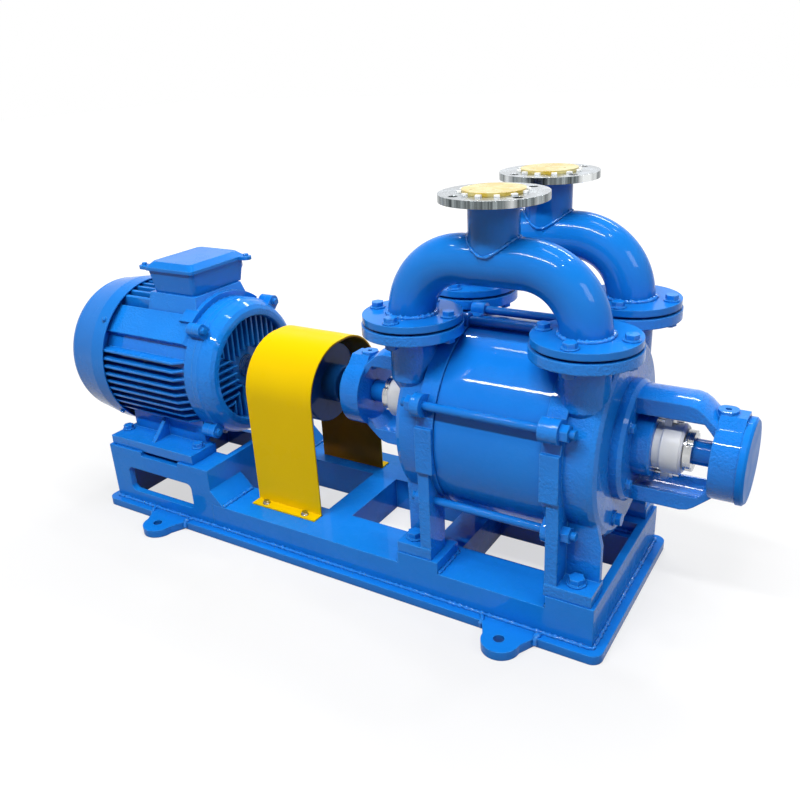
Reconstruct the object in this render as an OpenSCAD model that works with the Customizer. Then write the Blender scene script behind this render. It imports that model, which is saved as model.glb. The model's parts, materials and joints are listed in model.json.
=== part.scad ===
// Liquid ring vacuum pump set: a foot motor drives a two-cover pump through a guarded pin coupling,
// all on one base. X runs along the shaft from motor to pump, Y across, Z up from the floor, in mm.

/* [Base] */
// Length over the side rails
base_len = 1068; // [1060:1:1076]
// Width over the side rails
base_w = 344; // [340:1:348]
// Height of the rail tops
rail_h = 66; // [64:1:68]
// Width of one side rail
rail_w = 92; // [90:1:94]
// Wall of the hollow rails and cross members
base_wall = 10; // [8:0.5:12]
// How far the foot strip stands out
strip_out = 18; // [14:1:22]
// Thickness of the foot strip and anchor lugs
strip_h = 16; // [14:1:18]
// Length of the raised motor pedestal
pedestal_len = 281; // [278:1:284]
// Width of a cross member
cross_w = 55; // [52:1:58]
// Anchor bolt hole
anchor_d = 18; // [16:0.5:20]
// Anchor hole spacing along the base
anchor_x = 767; // [760:1:774]

/* [Motor] */
// Shaft height above the floor
shaft_z = 300; // [298:1:302]
// Shaft height above the motor feet
motor_h = 160; // [158:1:162]
// Foot bolt spacing across
motor_a = 254; // [250:1:258]
// Foot bolt spacing along
motor_b = 204; // [200:1:208]
// Radius over the cooling fins
fin_r = 155; // [153:0.5:155.5]
// Radius of the barrel under the fins
barrel_r = 134; // [132:0.5:136]
// Pitch of the cooling fins
fin_pitch = 16.5; // [16:0.1:17]
// Thickness of a cooling fin
fin_t = 4.5; // [3.5:0.5:5]
// Outer radius of the fan cowl
cowl_r = 159; // [158:0.5:159.5]
// Sheet thickness of the fan cowl
cowl_t = 2.5; // [2:0.25:3]
// Motor shaft end diameter
motor_shaft_d = 42; // [40:1:44]
// Motor shaft end length
motor_shaft_len = 110; // [108:1:112]

/* [Coupling and guard] */
// Diameter of the coupling halves
coupling_d = 156; // [150:1:160]
// Free gap between the coupling halves
coupling_gap = 4; // [3:0.5:5]
// Number of coupling pins
pin_count = 6; // [4:1:8]
// Guard width over its legs
guard_w = 222; // [218:1:226]
// Guard length along the shaft
guard_len = 153; // [150:1:156]
// Height of the guard top above the floor
guard_top = 391; // [388:1:394]
// Bend radius at the guard shoulders
guard_bend = 100; // [95:1:105]
// Guard sheet thickness
guard_t = 3; // [2:0.5:4]

/* [Pump] */
// Casing length between the end covers
casing_len = 180; // [176:1:184]
// Length of one end cover
cover_len = 80; // [78:1:82]
// Shift of the casing bore below the shaft
eccentricity = 13; // [12:0.5:14]
// Impeller diameter
impeller_d = 250; // [247:1:252]
// Number of impeller vanes
vane_count = 16; // [12:1:18]
// Tie rod diameter
rod_d = 14; // [12:1:14]
// Shaft diameter in the bearings
journal_d = 40; // [38:0.5:41]
// Outer diameter of a bearing housing
housing_d = 130; // [127:1:132]
// Outer radius of the bracket arms
arm_r = 93; // [91:0.5:95]
// Width of a bracket arm
arm_w = 68; // [64:1:72]

/* [Flanges and manifolds] */
// Spacing of the two ports along the shaft
port_pitch = 286; // [283:1:289]
// Spacing of the suction and discharge ports across
port_span = 207; // [204:1:210]
// Height of the leg flange faces over the casing
port_rise = 34; // [31:1:37]
// Height of the connection faces over the leg flange faces
pipe_rise = 193; // [190:1:196]
// Flange diameter
flange_d = 160; // [158:1:162]
// Manifold flange thickness
flange_t = 11; // [10:0.5:12]
// Bolt circle of every flange
bolt_circle = 130; // [129:0.5:131]
// Bolt holes of every flange
bolt_hole = 14; // [13:0.5:15]
// Pipe outside diameter
pipe_d = 76; // [75:0.5:77]
// Pipe wall
pipe_wall = 3.5; // [3:0.25:4]
// Bend radius of the manifold elbows
elbow_r = 95; // [93:1:97]

/* [Hidden] */
$fn = 64;

blue = [0.05, 0.32, 0.78];
dark_blue = [0.03, 0.12, 0.36];
yellow = [0.96, 0.78, 0.02];
cap_yellow = [0.93, 0.84, 0.45];
steel = [0.72, 0.73, 0.74];
iron = [0.35, 0.36, 0.38];
copper = [0.70, 0.38, 0.20];
rubber = [0.08, 0.08, 0.08];
white = [0.90, 0.89, 0.84];

// places along the shaft
base_x0 = -564;
base_x1 = base_x0 + base_len;
rail_x0 = base_x0 + pedestal_len;
motor_x = -447;
pump_x = 320.5;
port_x = pump_x - 13;
anchor_mid = -16.5;

// base
half_w = base_w / 2;
anchor_y = base_w + 90;
bay_w = base_w - 2 * rail_w;
cross_x = [-60, 178];
end_wall = 14;
pedestal_top = shaft_z - motor_h;
pedestal_wall = 14;
window_l = 182;
window_h = 56;
pad_w = 74;
pad_drop = 9;
pump_pad_h = 22;
pad_in = 98;
foot_base_z = rail_h + pump_pad_h;

// motor
frame_x0 = -570;
frame_x1 = -340;
shield_x0 = -320;
shield_x1 = -278;
hub_x1 = -306;
recess_r = 106;
hub_r = 40;
shield_r = 140;
end_bolt_r = shield_r + 11;
cowl_x0 = -552;
cowl_x1 = -675;
cowl_edge = 30;
cowl_lap = 34;
cowl_taper = 9;
core_r = barrel_r - 18;
core_half = 75;
core_x = -438;
rotor_r = 77.4;
air_gap = 0.6;
motor_bearing_r = 50;
motor_seat_r = 22.5;
motor_bearing_w = 25;
bearing_wall = 8;
shoulder_x = -230;
motor_end_x = shoulder_x + motor_shaft_len;
foot_t = 20;
foot_len = 240;
foot_out = 166;
foot_in = 96;
box_x = -416;
lid_z = 501;
lid_l = 132;
lid_w = 162;
lid_h = 17;
box_y = 10;
box_h = 45;
box_wall = 5;
box_floor_l = 112;
box_floor_w = 142;

// coupling and guard
coupling_mid = -116;
half_t = 28;
motor_hub_len = 50;
pump_hub_len = 32;
coupling_hub_r = 36;
pin_r = 7;
bush_r = 14;
bush_gap = 0.3;
pin_circle_r = coupling_d / 2 - 19;
motor_half_x = coupling_mid - coupling_gap / 2;
pump_half_x = coupling_mid + coupling_gap / 2;
guard_x0 = -209;
guard_foot = 22;
guard_bolt_x = [27, guard_len - 31];
key_w = 12;
key_h = 8;

// pump, measured outwards from the middle of the casing
casing_half = casing_len / 2;
bore_r = impeller_d / 2 + eccentricity + 4;
casing_r = bore_r + eccentricity + 11;
leg_face_z = shaft_z + casing_r + port_rise;
gasket_t = 0.8;
rim_start = casing_half + gasket_t;
rim_r = casing_r + 4;
rod_r = casing_r + 16;
rim_end = rim_start + 30;
cover_end = casing_half + cover_len;
barrel_out_r = casing_r - 6;
plate_t = 10;
plate_r = casing_r - 16;
leg_t = 20;
leg_out = casing_r + 2;
leg_in = casing_r - 48;
pump_foot_t = 20;
drive_foot_end = cover_end - 4;
free_foot_end = cover_end + 8;
foot_bolt = cover_end - 25;
foot_bolt_y = casing_r - 21;
rod_angles = [23.3, 156.7, 216, 270, 324];
lug_r = 19;
top_stud_angles = [80, 100];
top_stud_r = casing_r + 9;
top_lug_r = 12;
top_lug_end = rim_end - 6;
neck_r = 38;
neck_round_z = shaft_z + 92;
neck_tail = 50;
cover_flange_d = flange_d + 4;
cover_flange_t = 16;
gasket_gap = 4;
cover_face_z = leg_face_z - flange_t - gasket_gap;
port_bore_r = pipe_d / 2 - pipe_wall;
box_out_r = 52;
box_end = cover_end + 46;
throat_r = 27;
packing_r = 36;
packing_start = cover_end + 8;
packing_count = 3;
packing_w = 10;
packing_gap = 0.1;
packing_end = packing_start + packing_count * packing_w - packing_gap;
sleeve_r = 26;
run_fit = 0.05;
sleeve_seat_r = 21;
hub_seat_r = 24;
gland_x0 = cover_end + 56.5;
gland_x1 = cover_end + 89;
gland_r = 40;
stud_r = 46.8;
lock_x0 = gland_x1 + 1.5;
lock_x1 = lock_x0 + 12;
lock_r = 32;
impeller_clear = 0.4;
vane_t = 5;
vane_arc = 95;
impeller_hub_r = 44;

// bearing brackets
root_r = arm_r + 5;
root_t = 18;
arm_in_r = 70;
housing_r = housing_d / 2;
ridge_half = 16;
ridge_foot = 46;
ridge_foot_z = 40;
housing_start = cover_end + 134.5;
housing_end = housing_start + 38;
bearing_r = 45;
bearing_w = 23;
bearing_start = housing_start + 11;
journal_r = journal_d / 2;
cap_t = 12;
drive_cap_r = 53;
coupling_seat_r = 19;
shaft_drive_end = pump_x - pump_half_x - 2;

// manifolds
top_face_z = leg_face_z + pipe_rise;
leg_base_z = leg_face_z - flange_t;
bend_z = leg_face_z - 2;
run_z = bend_z + elbow_r;
top_base_z = top_face_z - flange_t;
top_turn = 55;
cap_r = 46;
cap_h = 5;

// Solid or ring of revolution about the shaft from [radius, x] points
module turned(points) {
    translate([0, 0, shaft_z])
        rotate([0, 90, 0])
            rotate_extrude()
                polygon(points);
}

// Round bar along the shaft direction, centred on the axis unless moved by y and z
module bar_x(r, x0, x1, y = 0, z = 0) {
    translate([x0, y, shaft_z + z])
        rotate([0, 90, 0])
            cylinder(r = r, h = x1 - x0);
}

// Ring along the shaft direction
module ring_x(r_out, r_in, x0, x1) {
    difference() {
        bar_x(r_out, x0, x1);
        bar_x(r_in, x0 - 1, x1 + 1);
    }
}

// Cross-section across the shaft (2D x is Y, 2D y is height from the axis) drawn out along X
module section_x(x0, x1) {
    translate([x0, 0, shaft_z])
        rotate([90, 0, 90])
            linear_extrude(x1 - x0)
                children();
}

// Side outline (2D x is X, 2D y is Z) drawn out along Y
module section_y(y0, y1) {
    translate([0, y1, 0])
        rotate([90, 0, 0])
            linear_extrude(y1 - y0)
                children();
}

// Block between two corners
module block(a, b) {
    translate(a)
        cube(b - a);
}

// Rectangle with round corners, centred
module round_rect(w, d, r) {
    square([w - 2 * r, d], center = true);
    square([w, d - 2 * r], center = true);
    for (sx = [-1, 1], sy = [-1, 1])
        translate([sx * (w / 2 - r), sy * (d / 2 - r)])
            circle(r);
}

// Hexagon head or nut, seat at z = 0
module hex_prism(d, h) {
    cylinder(r = 0.75 * d / cos(30), h = h, $fn = 6);
}

// Hexagon bolt with a washer: head above z = 0, shank below
module hex_bolt(d, len) {
    cylinder(r = 1.05 * d, h = 0.18 * d);
    translate([0, 0, 0.18 * d])
        hex_prism(d, 0.64 * d);
    translate([0, 0, -len])
        cylinder(d = d, h = len);
}

// Keeps the pieces of one pump end at the free end, or turns them to the drive end
module pump_end(side) {
    translate([pump_x, 0, 0])
        mirror([side < 0 ? 1 : 0, 0, 0])
            children();
}

module on_both_ends() {
    for (side = [-1, 1])
        pump_end(side)
            children();
}

module both_sides() {
    for (s = [0, 1])
        mirror([0, s, 0])
            children();
}

// Flat strip round the foot of the base with four anchor tongues
module foot_strip() {
    color(blue)
        difference() {
            union() {
                linear_extrude(strip_h)
                    base_plan(strip_out);
                on_anchors()
                    anchor_tongue();
            }
            translate([0, 0, -1])
                linear_extrude(strip_h + 2)
                    base_plan(0);
            on_anchors()
                translate([0, 0, -1])
                    cylinder(d = anchor_d, h = strip_h + 2);
        }
}

// Plan of the base, grown all round
module base_plan(grow) {
    translate([base_x0 + base_len / 2, 0])
        if (grow > 0)
            round_rect(base_len + 2 * grow, base_w + 2 * grow, grow);
        else
            square([base_len, base_w], center = true);
}

module on_anchors() {
    for (sx = [-1, 1], far = [0, 1])
        mirror([0, far, 0])
            translate([anchor_mid + sx * anchor_x / 2, -anchor_y / 2])
                children();
}

// Tongue that reaches from the base wall out round the bolt hole
module anchor_tongue() {
    reach = anchor_y / 2 - half_w;
    translate([3, 0, 0])
        cylinder(r = 32, h = strip_h);
    linear_extrude(strip_h)
        polygon([[-29, 0], [-52, reach], [58, reach], [35, 0]]);
}

module base_frame() {
    color(blue) {
        difference() {
            union() {
                block([rail_x0, -half_w, 0], [base_x1, half_w, rail_h]);
                block([base_x1 - end_wall, -half_w, 0], [base_x1, half_w, foot_base_z]);
                both_sides()
                    pump_pads();
            }
            bays();
            rail_hollows();
            pump_foot_holes();
            guard_holes();
        }
    }
}

// Raised seats of the pump feet on the near rail, the free one reaching to the end wall
module pump_pads() {
    block([pump_x - drive_foot_end, -half_w, 0], [pump_x - casing_half + 2, -pad_in, foot_base_z]);
    block([pump_x + casing_half + 15, -half_w, 0], [base_x1, -pad_in, foot_base_z]);
}

// Open bays between the cross members
module bays() {
    starts = [rail_x0 - 1, cross_x[0] + cross_w, cross_x[1] + cross_w];
    ends = [cross_x[0], cross_x[1], base_x1 - end_wall];
    for (i = [0:2])
        block([starts[i], -bay_w / 2, -1], [ends[i], bay_w / 2, rail_h + 1]);
}

// Hollow undersides of the rails and cross members
module rail_hollows() {
    top = rail_h - base_wall;
    both_sides()
        block([rail_x0 + base_wall, -half_w + base_wall, -1],
            [base_x1 - end_wall, -bay_w / 2 - base_wall, top]);
    for (x = cross_x)
        block([x + base_wall, -bay_w / 2 - 2 * base_wall, -1],
            [x + cross_w - base_wall, bay_w / 2 + 2 * base_wall, top]);
}

module pump_foot_holes() {
    both_sides()
        on_both_ends()
            translate([foot_bolt, -foot_bolt_y, rail_h - base_wall - 1])
                cylinder(d = 16, h = base_wall + pump_pad_h + 2);
}

module guard_holes() {
    both_sides()
        for (dx = guard_bolt_x)
            translate([guard_x0 + dx, -guard_w / 2 - guard_foot / 2, rail_h - base_wall - 1])
                cylinder(d = 8, h = base_wall + 2);
}

module motor_pedestal() {
    color(blue) {
        difference() {
            block([base_x0, -half_w, 0], [rail_x0, half_w, pedestal_top]);
            block([base_x0 + pedestal_wall, -half_w + pedestal_wall, -1],
                [rail_x0 - pedestal_wall, half_w - pedestal_wall, pedestal_top - pedestal_wall]);
            block([base_x0 + pedestal_wall, -half_w + pad_w, pedestal_top - 2 * pedestal_wall],
                [rail_x0 - pedestal_wall, half_w - pad_w, pedestal_top + 1]);
            pedestal_windows();
            block([motor_x - 23, -half_w - 1, pedestal_top - pad_drop],
                [motor_x + 83, half_w + 1, pedestal_top + 1]);
            motor_foot_holes(pedestal_top - pedestal_wall - 1, pedestal_wall + 2);
        }
        pedestal_fillets();
    }
}

// Round-cornered window through both pedestal walls
module pedestal_windows() {
    section_y(-half_w - 1, half_w + 1)
        translate([base_x0 + 138, 69])
            round_rect(window_l, window_h, 12);
}

// Weld fillets where the pedestal end wall stands on the rail tops
module pedestal_fillets() {
    fillet = 30;
    both_sides()
        section_y(-half_w, -half_w + rail_w)
            polygon([[rail_x0, rail_h], [rail_x0 + fillet, rail_h], [rail_x0, rail_h + fillet]]);
}

module motor_foot_holes(z, h) {
    for (sx = [-1, 1], sy = [-1, 1])
        translate([motor_x + sx * motor_b / 2, sy * motor_a / 2, z])
            cylinder(d = 14.5, h = h);
}

// Finned barrel outline: level fins at the sides, upright fins above and below, flat corner pads
module fin_outline() {
    circle(barrel_r);
    intersection() {
        circle(fin_r);
        union() {
            for (i = [-5:3])
                translate([0, i * fin_pitch - 4])
                    square([2 * fin_r, fin_t], center = true);
            for (i = [-4:4])
                translate([i * fin_pitch, 0])
                    square([fin_t, 2 * fin_r], center = true);
            for (a = [45, 135])
                rotate(a)
                    translate([barrel_r / 2, 0])
                        square([barrel_r + 20, 62], center = true);
        }
    }
}

// Envelope that bevels the drive ends of the fins
module fin_envelope() {
    turned([[0, frame_x0], [fin_r + 8, frame_x0], [fin_r + 8, frame_x1 - 26],
        [barrel_r + 6, frame_x1 - 2], [barrel_r + 6, frame_x1], [0, frame_x1]]);
}

// Foot plate with its upright wall and middle rib on the near side
module motor_foot() {
    x0 = motor_x - foot_len / 2 + 8;
    x1 = motor_x + foot_len / 2;
    z0 = pedestal_top;
    block([x0, -foot_out, z0], [x1, -foot_in, z0 + foot_t]);
    block([x0 + 14, -foot_in - 12, z0], [x1 - 14, -foot_in, shaft_z - 0.58 * barrel_r]);
    translate([motor_x + 4.5, 0, 0])
        rotate([90, 0, -90])
            linear_extrude(9)
                polygon([[foot_in, z0 + foot_t], [foot_out - 14, z0 + foot_t],
                    [foot_in, shaft_z - 0.64 * barrel_r]]);
}

// Bolt lugs at the four diagonals of the motor's end ring
module end_lugs(x0, x1) {
    section_x(x0, x1)
        for (a = [45, 135, 225, 315])
            rotate(a) {
                translate([end_bolt_r, 0])
                    circle(13);
                translate([end_bolt_r - 30, -13])
                    square([30, 26]);
            }
}

module end_lug_holes(x0, x1, d) {
    on_circle([45, 135, 225, 315], end_bolt_r)
        bar_x(d / 2, x0, x1);
}

module motor_frame() {
    color(blue)
        difference() {
            union() {
                intersection() {
                    section_x(frame_x0, frame_x1)
                        fin_outline();
                    fin_envelope();
                }
                bar_x(shield_r, frame_x1, shield_x0);
                end_lugs(frame_x1 + 4, shield_x0);
                both_sides()
                    motor_foot();
                block([box_x - 62, -66, shield_r + shield_z_low()], [box_x + 62, 66, lid_z - box_h]);
                neck_flare();
                front_saddle();
            }
            bar_x(core_r, frame_x0 - 1, shield_x0 + 1);
            end_lug_holes(frame_x1 + 8, shield_x0 + 1, 8);
            motor_foot_holes(pedestal_top - 1, foot_t + 2);
            block([box_x - 40, -40, shaft_z + core_r - 6], [box_x + 40, 40, lid_z]);
        }
}

// Height at which the terminal box neck leaves the barrel
function shield_z_low() = shaft_z - shield_r + barrel_r - 14;

// Smooth saddle between the neck and the end ring
module front_saddle() {
    x0 = box_x + 40;
    intersection() {
        bar_x(fin_r - 4, x0, frame_x1 - 1);
        section_x(x0, frame_x1)
            polygon([[0, 0], [-shield_r, 1.2 * shield_r], [shield_r, 1.2 * shield_r]]);
    }
}

// Neck under the terminal box, wider towards the barrel
module neck_flare() {
    top = lid_z - box_h;
    low = shaft_z + barrel_r - 20;
    intersection() {
        section_y(-90, 90)
            polygon([[box_x - 62, top], [box_x + 62, top], [box_x + 72, low], [box_x - 66, low]]);
        section_x(box_x - 80, box_x + 80)
            polygon([[-66, top - shaft_z], [66, top - shaft_z], [78, low - shaft_z], [-78, low - shaft_z]]);
    }
}

module stator_core() {
    color(iron)
        difference() {
            bar_x(core_r, core_x - core_half, core_x + core_half);
            section_x(core_x - core_half - 1, core_x + core_half + 1) {
                circle(rotor_r + air_gap);
                for (i = [0:23])
                    rotate(i * 15)
                        translate([rotor_r + 12, 0])
                            square([24, 7], center = true);
            }
        }
}

module stator_windings() {
    end_len = 26;
    color(copper)
        for (s = [-1, 1])
            translate([core_x + s * core_half, 0, 0])
                mirror([s < 0 ? 1 : 0, 0, 0])
                    turned([[rotor_r + 8, 0], [core_r - 8, 0], [core_r - 12, end_len - 6],
                        [core_r - 20, end_len], [rotor_r + 14, end_len], [rotor_r + 8, end_len - 6]]);
}

// Ribs of the recessed shield face: upright above and below, level at the sides
module shield_ribs() {
    far = shield_r + 20;
    high = 0.56 * far;
    low = 0.94 * far;
    intersection() {
        difference() {
            circle(recess_r + 2);
            circle(hub_r + 4);
        }
        union() {
            intersection() {
                union() {
                    polygon([[0, 0], [far, high], [far, far], [-far, far], [-far, high]]);
                    polygon([[0, 0], [far, -low], [-far, -low]]);
                }
                for (i = [-8:8])
                    translate([i * 15, 0])
                        square([4, 2 * shield_r], center = true);
            }
            intersection() {
                union() {
                    polygon([[0, 0], [far, high], [far, -low]]);
                    polygon([[0, 0], [-far, high], [-far, -low]]);
                }
                for (i = [-7:5])
                    translate([0, i * 15])
                        square([2 * shield_r, 4], center = true);
            }
        }
    }
}

module drive_end_shield() {
    face = shield_x0 + 14;
    seat_x0 = hub_x1 - 8 - motor_bearing_w;
    color(blue)
        difference() {
            union() {
                turned([[0, shield_x0], [shield_r, shield_x0], [shield_r, shield_x0 + 12],
                    [shield_r - 3, shield_x0 + 15], [shield_r - 6, shield_x1 - 16],
                    [shield_r - 12, shield_x1 - 6], [shield_r - 20, shield_x1 - 1],
                    [shield_r - 27, shield_x1], [recess_r + 2, shield_x1], [recess_r, shield_x1 - 3],
                    [recess_r - 2, face], [hub_r + 2, face], [hub_r, hub_x1 + 2], [0, hub_x1 + 2]]);
                bar_x(motor_bearing_r + bearing_wall, seat_x0, shield_x0 + 6);
                section_x(face, shield_x1 - 12)
                    shield_ribs();
                end_lugs(shield_x0, shield_x0 + 16);
            }
            turned([[motor_bearing_r + bearing_wall, shield_x0 - 1], [core_r - 6, shield_x0 - 1],
                [core_r - 14, shield_x0 + 6], [motor_bearing_r + bearing_wall, shield_x0 + 6]]);
            turned([[0, seat_x0 - 1], [motor_bearing_r, seat_x0 - 1], [motor_bearing_r, hub_x1 - 6],
                [motor_seat_r + 0.5, hub_x1 - 6], [motor_seat_r + 0.5, hub_x1 + 3],
                [0, hub_x1 + 3]]);
            end_lug_holes(shield_x0 - 1, shield_x0 + 17, 9);
        }
}

module fan_end_shield() {
    x1 = frame_x0 - 24;
    color(blue)
        difference() {
            union() {
                turned([[0, frame_x0], [fin_r - 8, frame_x0], [fin_r - 8, frame_x0 - 10], [64, x1 + 6],
                    [62, x1], [0, x1]]);
                section_x(frame_x0 - 14, frame_x0)
                    intersection() {
                        circle(cowl_r - cowl_t);
                        for (a = [45, 135])
                            rotate(a)
                                square([2 * cowl_r, 22], center = true);
                    }
            }
            turned([[0, frame_x0 + 1], [motor_bearing_r, frame_x0 + 1], [motor_bearing_r, x1 + 4],
                [motor_seat_r + 0.5, x1 + 4], [motor_seat_r + 0.5, x1 - 1], [0, x1 - 1]]);
        }
}

// Ventilation slots in the cowl back, in two rings
module cowl_slots() {
    for (ring = [[54, 86, 20], [98, 128, 30]], i = [0:ring[2] - 1])
        rotate(i * 360 / ring[2]) {
            translate([ring[0], -4])
                square([ring[1] - ring[0], 8]);
            translate([ring[1], 0])
                circle(4);
            translate([ring[0], 0])
                circle(4);
        }
}

// Cowl outline from the rim round the domed edge to the flat back
module cowl_half(r, back, edge) {
    rear = r - cowl_taper;
    polygon([[0, 0], [r, 0], [r, cowl_lap], [rear, back - edge], [rear - edge, back], [0, back]]);
    translate([rear - edge, back - edge])
        circle(edge);
}

module fan_cowl() {
    depth = cowl_x0 - cowl_x1;
    color(blue)
        difference() {
            translate([cowl_x0, 0, shaft_z])
                rotate([0, -90, 0])
                    rotate_extrude()
                        intersection() {
                            difference() {
                                cowl_half(cowl_r, depth, cowl_edge);
                                translate([0, -1])
                                    cowl_half(cowl_r - cowl_t, depth - cowl_t + 1, cowl_edge - cowl_t);
                            }
                            square([cowl_r, depth]);
                        }
            section_x(cowl_x1 - 1, cowl_x1 + cowl_t + 1)
                cowl_slots();
        }
}

module terminal_shell(l0, w0, l1, w1, h) {
    hull() {
        linear_extrude(0.1)
            round_rect(l0, w0, 10, $fn = 32);
        translate([0, 0, h - 0.1])
            linear_extrude(0.1)
                round_rect(l1, w1, 10, $fn = 32);
    }
}

module terminal_box() {
    color(blue)
        difference() {
            translate([box_x, box_y, lid_z - box_h])
                difference() {
                    terminal_shell(box_floor_l, box_floor_w, lid_l - 8, lid_w - 8, box_h);
                    translate([0, 0, box_wall])
                        terminal_shell(box_floor_l - 12, box_floor_w - 12, lid_l - 20, lid_w - 20, box_h);
                }
            translate([box_x, box_y, lid_z - box_h - 1])
                cylinder(r = 24, h = box_wall + 2);
            gland_bore();
        }
}

module gland_bore() {
    translate([box_x + 24, box_y + lid_w / 2 - 31, lid_z - 18])
        rotate([-90, 0, 0])
            cylinder(r = 12, h = 40);
}

module terminal_box_lid() {
    ear = 11;
    color(blue)
        translate([box_x, box_y, lid_z])
            difference() {
                union() {
                    linear_extrude(7) {
                        round_rect(lid_l, lid_w, 10);
                        for (s = [-1, 1])
                            translate([s * (lid_l / 2 - 4), s * (lid_w / 2 - 4)])
                                lid_ear(s, ear);
                    }
                    translate([0, 0, 7])
                        terminal_shell(lid_l - 4, lid_w - 4, lid_l - 26, lid_w - 26, lid_h - 7);
                }
                translate([0, 0, -1])
                    linear_extrude(9)
                        round_rect(lid_l - 22, lid_w - 22, 8);
                for (s = [-1, 1])
                    translate([s * (lid_l / 2 + 10), s * (lid_w / 2 - 14), -1])
                        cylinder(d = 7, h = 9);
            }
}

// Screw ear at one lid corner
module lid_ear(s, r) {
    translate([s * 14, s * -10])
        circle(r);
    translate([s * 2, s * -10])
        square([26, 2 * r], center = true);
}

module terminal_block() {
    z0 = lid_z - box_h + box_wall;
    color(rubber)
        difference() {
            block([box_x - 34, box_y - 46, z0], [box_x + 34, box_y + 46, z0 + 12]);
            translate([box_x, box_y, z0 - 1])
                cylinder(r = 12, h = 14);
        }
    color(copper)
        for (sx = [-1, 1], i = [-1:1])
            translate([box_x + sx * 22, box_y + i * 30, z0 + 12])
                cylinder(d = 6, h = 14);
}

module cable_gland() {
    color(blue)
        translate([box_x + 24, box_y, lid_z - 18])
            rotate([-90, 0, 0]) {
                translate([0, 0, lid_w / 2 - 13])
                    cylinder(r = 12, h = 10);
                translate([0, 0, lid_w / 2 - 3])
                    cylinder(r = 16, h = 4);
                translate([0, 0, lid_w / 2 + 1])
                    cylinder(r = 15, h = 12);
            }
}

module motor_foot_bolts() {
    color(blue)
        for (sx = [-1, 1], sy = [-1, 1])
            translate([motor_x + sx * motor_b / 2, sy * motor_a / 2, pedestal_top + foot_t])
                hex_bolt(12, foot_t + pedestal_wall - 4);
}

module end_shield_bolts() {
    color(blue)
        on_circle([45, 135, 225, 315], end_bolt_r)
            translate([shield_x0 + 16, 0, shaft_z])
                rotate([0, 90, 0])
                    hex_bolt(8, 26);
}

// Outer rings of the two motor bearings, held by the shields
module motor_outer_rings() {
    color(steel)
        for (x = [hub_x1 - 6 - motor_bearing_w, frame_x0 - 20])
            motor_ring(motor_bearing_r, motor_bearing_r - bearing_wall, x);
}

module motor_ring(r_out, r_in, x) {
    w = x < core_x ? 20 : motor_bearing_w;
    ring_x(r_out, r_in, x, x + w);
}

module motor_inner_rings() {
    color(steel)
        for (x = [hub_x1 - 6 - motor_bearing_w, frame_x0 - 20])
            motor_ring(motor_seat_r + bearing_wall, motor_seat_r, x);
}

module motor_shaft() {
    end_r = motor_shaft_d / 2;
    fan_end = frame_x0 - 68;
    color(steel)
        difference() {
            turned([[0, fan_end], [18, fan_end], [20, fan_end + 2], [20, frame_x0 - 30],
                [motor_seat_r, frame_x0 - 30], [motor_seat_r, frame_x0 + 1], [30, frame_x0 + 1],
                [30, hub_x1 - 32], [motor_seat_r, hub_x1 - 32], [motor_seat_r, shoulder_x],
                [end_r, shoulder_x], [end_r, motor_end_x - 2], [end_r - 2, motor_end_x], [0, motor_end_x]]);
            motor_key_slot();
        }
}

// Key seat shared by the motor shaft, its coupling half and the key
module motor_key_slot() {
    r = motor_shaft_d / 2;
    block([motor_half_x - half_t - motor_hub_len + 6, -key_w / 2, shaft_z + r - 5],
        [motor_end_x - 4, key_w / 2, shaft_z + r - 5 + key_h]);
}

module motor_key() {
    color(steel)
        motor_key_slot();
}

module rotor_core() {
    color(iron)
        difference() {
            turned([[30, core_x - core_half - 14], [58, core_x - core_half - 14],
                [rotor_r - 6, core_x - core_half - 10], [rotor_r - 6, core_x - core_half],
                [rotor_r, core_x - core_half], [rotor_r, core_x + core_half],
                [rotor_r - 6, core_x + core_half], [rotor_r - 6, core_x + core_half + 10],
                [58, core_x + core_half + 14], [30, core_x + core_half + 14]]);
            for (i = [0:7])
                bar_x(6, core_x - 120, core_x + 120, 46 * cos(i * 45), 46 * sin(i * 45));
        }
}

module cooling_fan() {
    x0 = frame_x0 - 64;
    x1 = frame_x0 - 34;
    color(rubber)
        difference() {
            union() {
                bar_x(32, x0, x1);
                bar_x(128, x1 - 4, x1);
                intersection() {
                    section_x(x0, x1 - 3)
                        for (i = [0:8])
                            rotate(i * 40)
                                translate([78, 0])
                                    square([104, 5], center = true);
                    turned([[0, x0], [96, x0], [128, x1 - 8], [128, x1], [0, x1]]);
                }
            }
            bar_x(20, x0 - 1, x1 + 1);
        }
}

module coupling_motor_half() {
    x0 = motor_half_x - half_t - motor_hub_len;
    color(dark_blue)
        difference() {
            turned([[0, x0], [coupling_hub_r - 2, x0], [coupling_hub_r, x0 + 2],
                [coupling_hub_r, motor_half_x - half_t], [coupling_d / 2 - 2, motor_half_x - half_t],
                [coupling_d / 2, motor_half_x - half_t + 2], [coupling_d / 2, motor_half_x],
                [0, motor_half_x]]);
            bar_x(motor_shaft_d / 2, x0 - 1, motor_half_x + 1);
            motor_key_slot();
            on_pin_circle()
                bar_x(bush_r + bush_gap, motor_half_x - half_t - 1, motor_half_x + 1);
        }
}

module coupling_pump_half() {
    x1 = pump_half_x + half_t + pump_hub_len;
    color(dark_blue)
        difference() {
            turned([[0, pump_half_x], [coupling_d / 2, pump_half_x],
                [coupling_d / 2, pump_half_x + half_t - 2], [coupling_d / 2 - 2, pump_half_x + half_t],
                [coupling_hub_r, pump_half_x + half_t],
                [coupling_hub_r, x1 - 2], [coupling_hub_r - 2, x1], [0, x1]]);
            bar_x(coupling_seat_r, pump_half_x - 1, x1 + 1);
            pump_key_slot();
            on_pin_circle()
                bar_x(pin_r, pump_half_x - 1, pump_half_x + half_t - 2);
        }
}

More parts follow.
